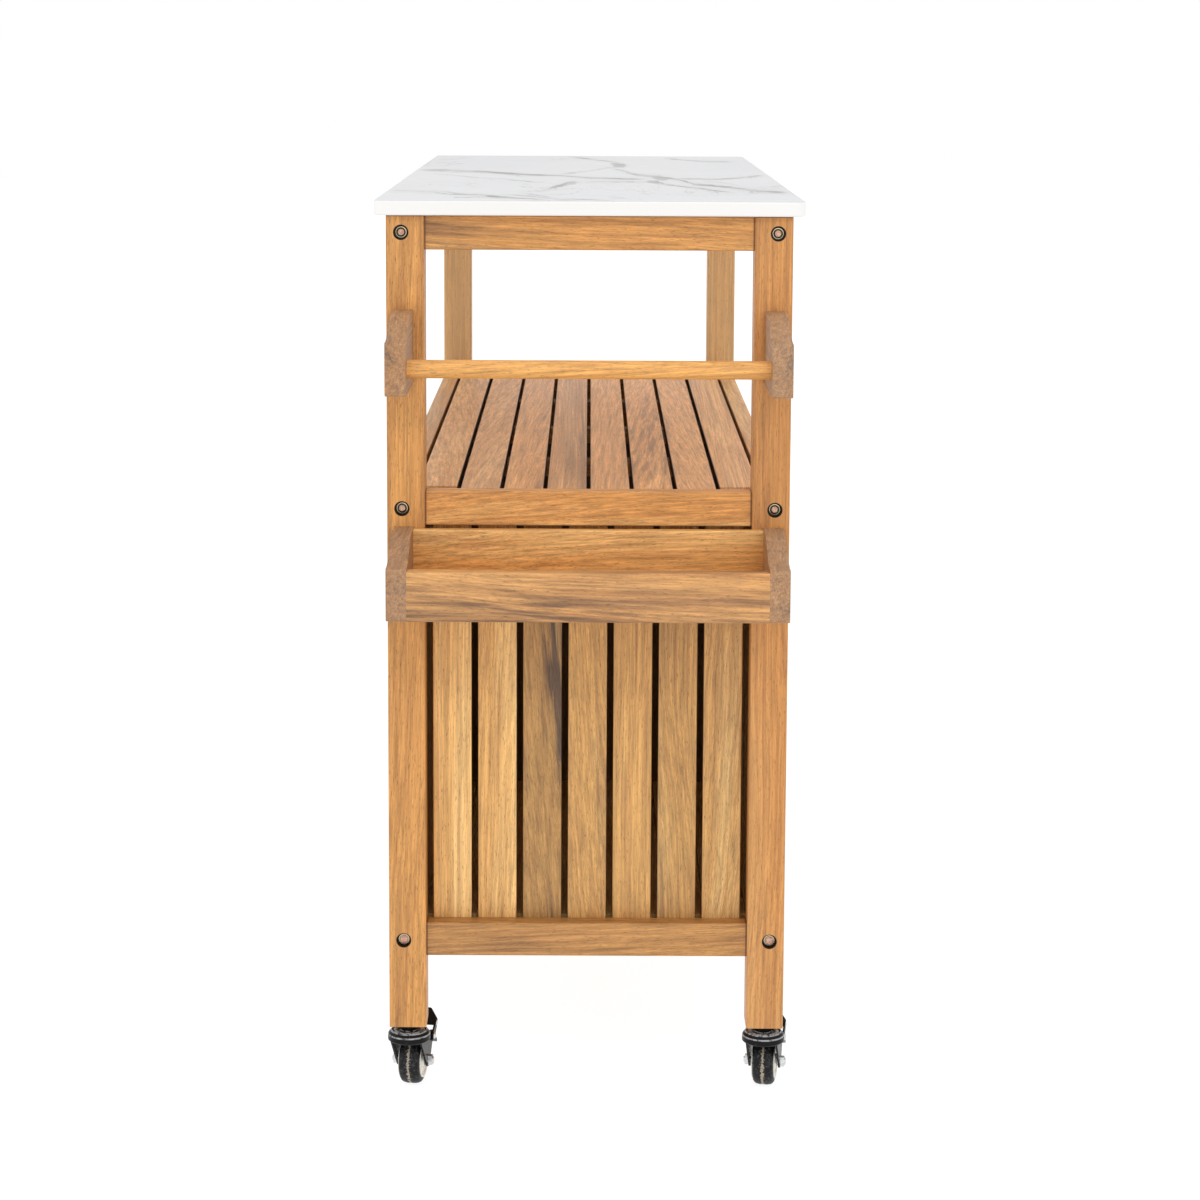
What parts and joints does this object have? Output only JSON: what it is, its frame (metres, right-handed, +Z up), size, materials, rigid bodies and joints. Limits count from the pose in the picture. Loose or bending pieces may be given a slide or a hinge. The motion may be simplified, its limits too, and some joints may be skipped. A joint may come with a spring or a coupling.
{
  "type": "kitchen cart",
  "caption": "Long kitchen cart: stone-look worktop, open slatted shelf over a slatted cabinet with doors, towel bar and bottle rack on one end, braked swivel casters.",
  "frame": {"origin": "on the floor, under the middle of the whole outline, with rack and door knobs counted", "axes": "+Z up, +X along the cart towards the end with the towel bar and bottle rack, +Y towards the closed back, so the doors face -Y"},
  "size_m": [1.313, 0.439, 0.925],
  "materials": {
    "stone_top": "satin, white with fine grey veins",
    "oiled_wood": "oiled hardwood, honey to brown",
    "slat_wood": "oiled hardwood slats with dark figure",
    "batten_wood": "sawn hardwood",
    "weathered_wood": "weathered hardwood, greyer brown",
    "yellow_zinc": "yellow zinc plating",
    "zinc_steel": "bright zinc plating",
    "black_steel": "gloss black coating",
    "hub_plastic": "off-white nylon",
    "tyre_rubber": "matt black rubber",
    "catch_plastic": "dark brown plastic"
  },
  "bodies": {
    "cart": {"countertop": "stone_top", "leg_front_right": "oiled_wood", "leg_back_right": "oiled_wood", "leg_front_left": "oiled_wood", "leg_back_left": "oiled_wood", "top_end_rails": "oiled_wood", "shelf_end_rails": "oiled_wood", "base_end_rails": "oiled_wood", "top_side_rails": "oiled_wood", "shelf_side_rails": "oiled_wood", "base_side_rails": "oiled_wood", "cross_battens": "batten_wood", "shelf_slats": "slat_wood", "base_slats": "slat_wood", "end_panel_slats": "slat_wood", "back_panel_slats": "slat_wood", "frame_bolts": "yellow_zinc", "barrel_nuts": "zinc_steel", "bracket_screws": "zinc_steel", "towel_brackets": "weathered_wood", "towel_bar": "oiled_wood", "rack_ends": "weathered_wood", "rack_back_board": "oiled_wood", "rack_front_board": "weathered_wood", "rack_floor": "oiled_wood", "caster_sockets": "zinc_steel", "caster_stems": "black_steel", "hinge_leg_leaves": "zinc_steel", "cabinet_partition": "oiled_wood", "door_catches": "catch_plastic"},
    "door_left": {"door_left_stiles": "oiled_wood", "door_left_rails": "oiled_wood", "door_left_slats": "slat_wood", "door_left_knob": "weathered_wood", "door_left_leaves": "zinc_steel"},
    "door_right": {"door_right_stiles": "oiled_wood", "door_right_rails": "oiled_wood", "door_right_slats": "slat_wood", "door_right_knob": "weathered_wood", "door_right_leaves": "zinc_steel"},
    "caster_front_right": {"caster_front_right_fork": "black_steel", "caster_front_right_axle": "zinc_steel"},
    "wheel_front_right": {"caster_front_right_hub": "hub_plastic", "caster_front_right_tyre": "tyre_rubber"},
    "pedal_front_right": {"caster_front_right_pedal": "black_steel"},
    "caster_back_right": {"caster_back_right_fork": "black_steel", "caster_back_right_axle": "zinc_steel"},
    "wheel_back_right": {"caster_back_right_hub": "hub_plastic", "caster_back_right_tyre": "tyre_rubber"},
    "pedal_back_right": {"caster_back_right_pedal": "black_steel"},
    "caster_front_left": {"caster_front_left_fork": "black_steel", "caster_front_left_axle": "zinc_steel"},
    "wheel_front_left": {"caster_front_left_hub": "hub_plastic", "caster_front_left_tyre": "tyre_rubber"},
    "pedal_front_left": {"caster_front_left_pedal": "black_steel"},
    "caster_back_left": {"caster_back_left_fork": "black_steel", "caster_back_left_axle": "zinc_steel"},
    "wheel_back_left": {"caster_back_left_hub": "hub_plastic", "caster_back_left_tyre": "tyre_rubber"},
    "pedal_back_left": {"caster_back_left_pedal": "black_steel"}
  },
  "joints": [
    {"name": "door_left_hinge", "type": "hinge", "parent": "cart", "child": "door_left", "pos_m": [-0.6039, -0.1961, 0.38925], "axis": [0, 0, -1], "range_deg": [0, 110]},
    {"name": "door_right_hinge", "type": "hinge", "parent": "cart", "child": "door_right", "pos_m": [0.4909, -0.1961, 0.38925], "axis": [0, 0, 1], "range_deg": [0, 110]},
    {"name": "swivel_front_right", "type": "hinge", "parent": "cart", "child": "caster_front_right", "pos_m": [0.5125, -0.1795, 0.06], "axis": [0, 0, 1], "continuous": true},
    {"name": "roll_front_right", "type": "hinge", "parent": "caster_front_right", "child": "wheel_front_right", "pos_m": [0.49477, -0.17637, 0.025], "axis": [0.1736, 0.9848, 0], "continuous": true},
    {"name": "brake_front_right", "type": "hinge", "parent": "caster_front_right", "child": "pedal_front_right", "pos_m": [0.47972, -0.17372, 0.04603], "axis": [-0.1736, -0.9848, 0], "range_deg": [0, 15]},
    {"name": "swivel_back_right", "type": "hinge", "parent": "cart", "child": "caster_back_right", "pos_m": [0.5125, 0.1885, 0.06], "axis": [0, 0, 1], "continuous": true},
    {"name": "roll_back_right", "type": "hinge", "parent": "caster_back_right", "child": "wheel_back_right", "pos_m": [0.49477, 0.19163, 0.025], "axis": [0.1736, 0.9848, 0], "continuous": true},
    {"name": "brake_back_right", "type": "hinge", "parent": "caster_back_right", "child": "pedal_back_right", "pos_m": [0.47972, 0.19428, 0.04603], "axis": [-0.1736, -0.9848, 0], "range_deg": [0, 15]},
    {"name": "swivel_front_left", "type": "hinge", "parent": "cart", "child": "caster_front_left", "pos_m": [-0.6255, -0.1795, 0.06], "axis": [0, 0, 1], "continuous": true},
    {"name": "roll_front_left", "type": "hinge", "parent": "caster_front_left", "child": "wheel_front_left", "pos_m": [-0.60777, -0.18263, 0.025], "axis": [-0.1736, -0.9848, 0], "continuous": true},
    {"name": "brake_front_left", "type": "hinge", "parent": "caster_front_left", "child": "pedal_front_left", "pos_m": [-0.59272, -0.18528, 0.04603], "axis": [0.1736, 0.9848, 0], "range_deg": [0, 15]},
    {"name": "swivel_back_left", "type": "hinge", "parent": "cart", "child": "caster_back_left", "pos_m": [-0.6255, 0.1885, 0.06], "axis": [0, 0, 1], "continuous": true},
    {"name": "roll_back_left", "type": "hinge", "parent": "caster_back_left", "child": "wheel_back_left", "pos_m": [-0.60777, 0.18537, 0.025], "axis": [-0.1736, -0.9848, 0], "continuous": true},
    {"name": "brake_back_left", "type": "hinge", "parent": "caster_back_left", "child": "pedal_back_left", "pos_m": [-0.59272, 0.18272, 0.04603], "axis": [0.1736, 0.9848, 0], "range_deg": [0, 15]}
  ]
}
